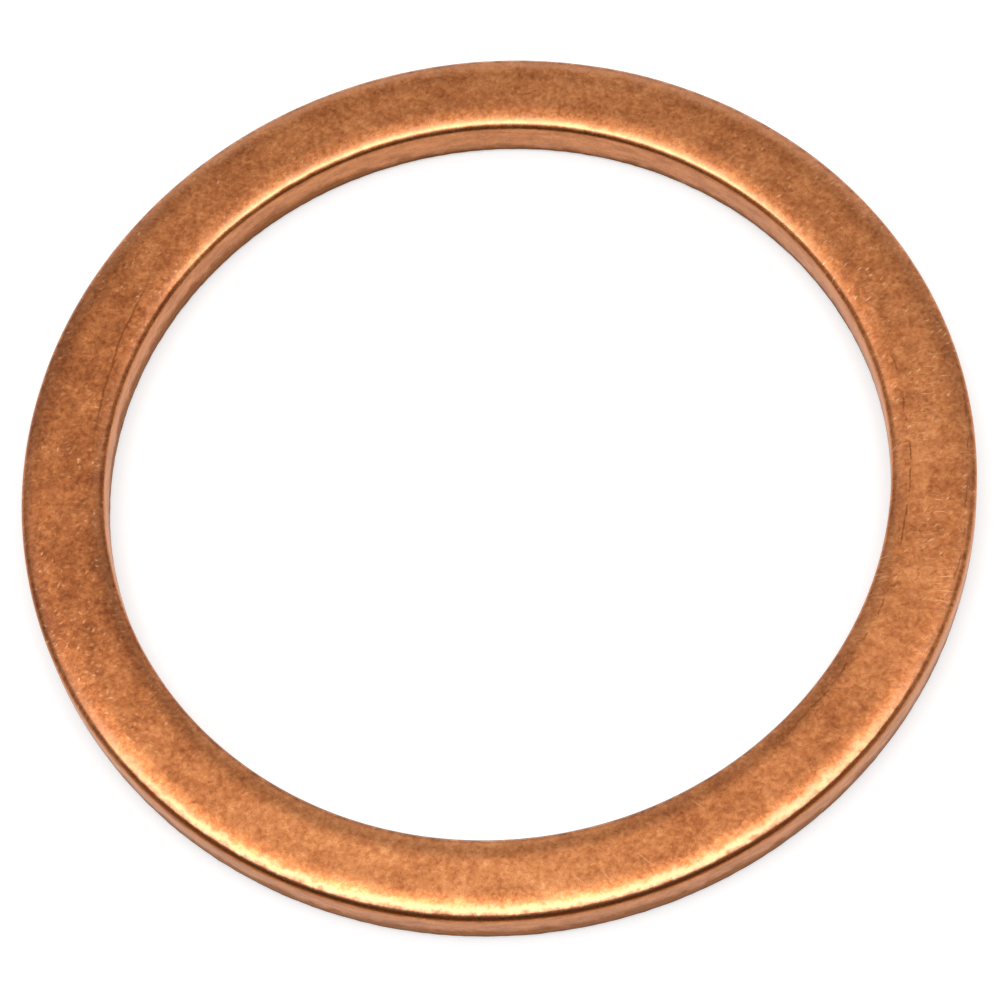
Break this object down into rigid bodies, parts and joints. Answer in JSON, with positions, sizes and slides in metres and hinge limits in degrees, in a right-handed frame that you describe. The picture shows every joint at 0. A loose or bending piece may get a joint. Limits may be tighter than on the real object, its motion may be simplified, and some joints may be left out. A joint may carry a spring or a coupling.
{
  "type": "sealing washer",
  "caption": "Flat round sealing washer stamped from soft copper, with drawn upper edges and a slightly torn lower wall, for a screw plug.",
  "frame": {"origin": "centre of the ring, on the underside", "axes": "+Z along the bore axis, out of the face with the drawn edges; X and Y are alike"},
  "size_m": [0.027, 0.027, 0.0015],
  "materials": {
    "copper": "satin, lightly oxidised copper"
  },
  "bodies": {
    "root": {"washer": "copper"}
  },
  "joints": []
}
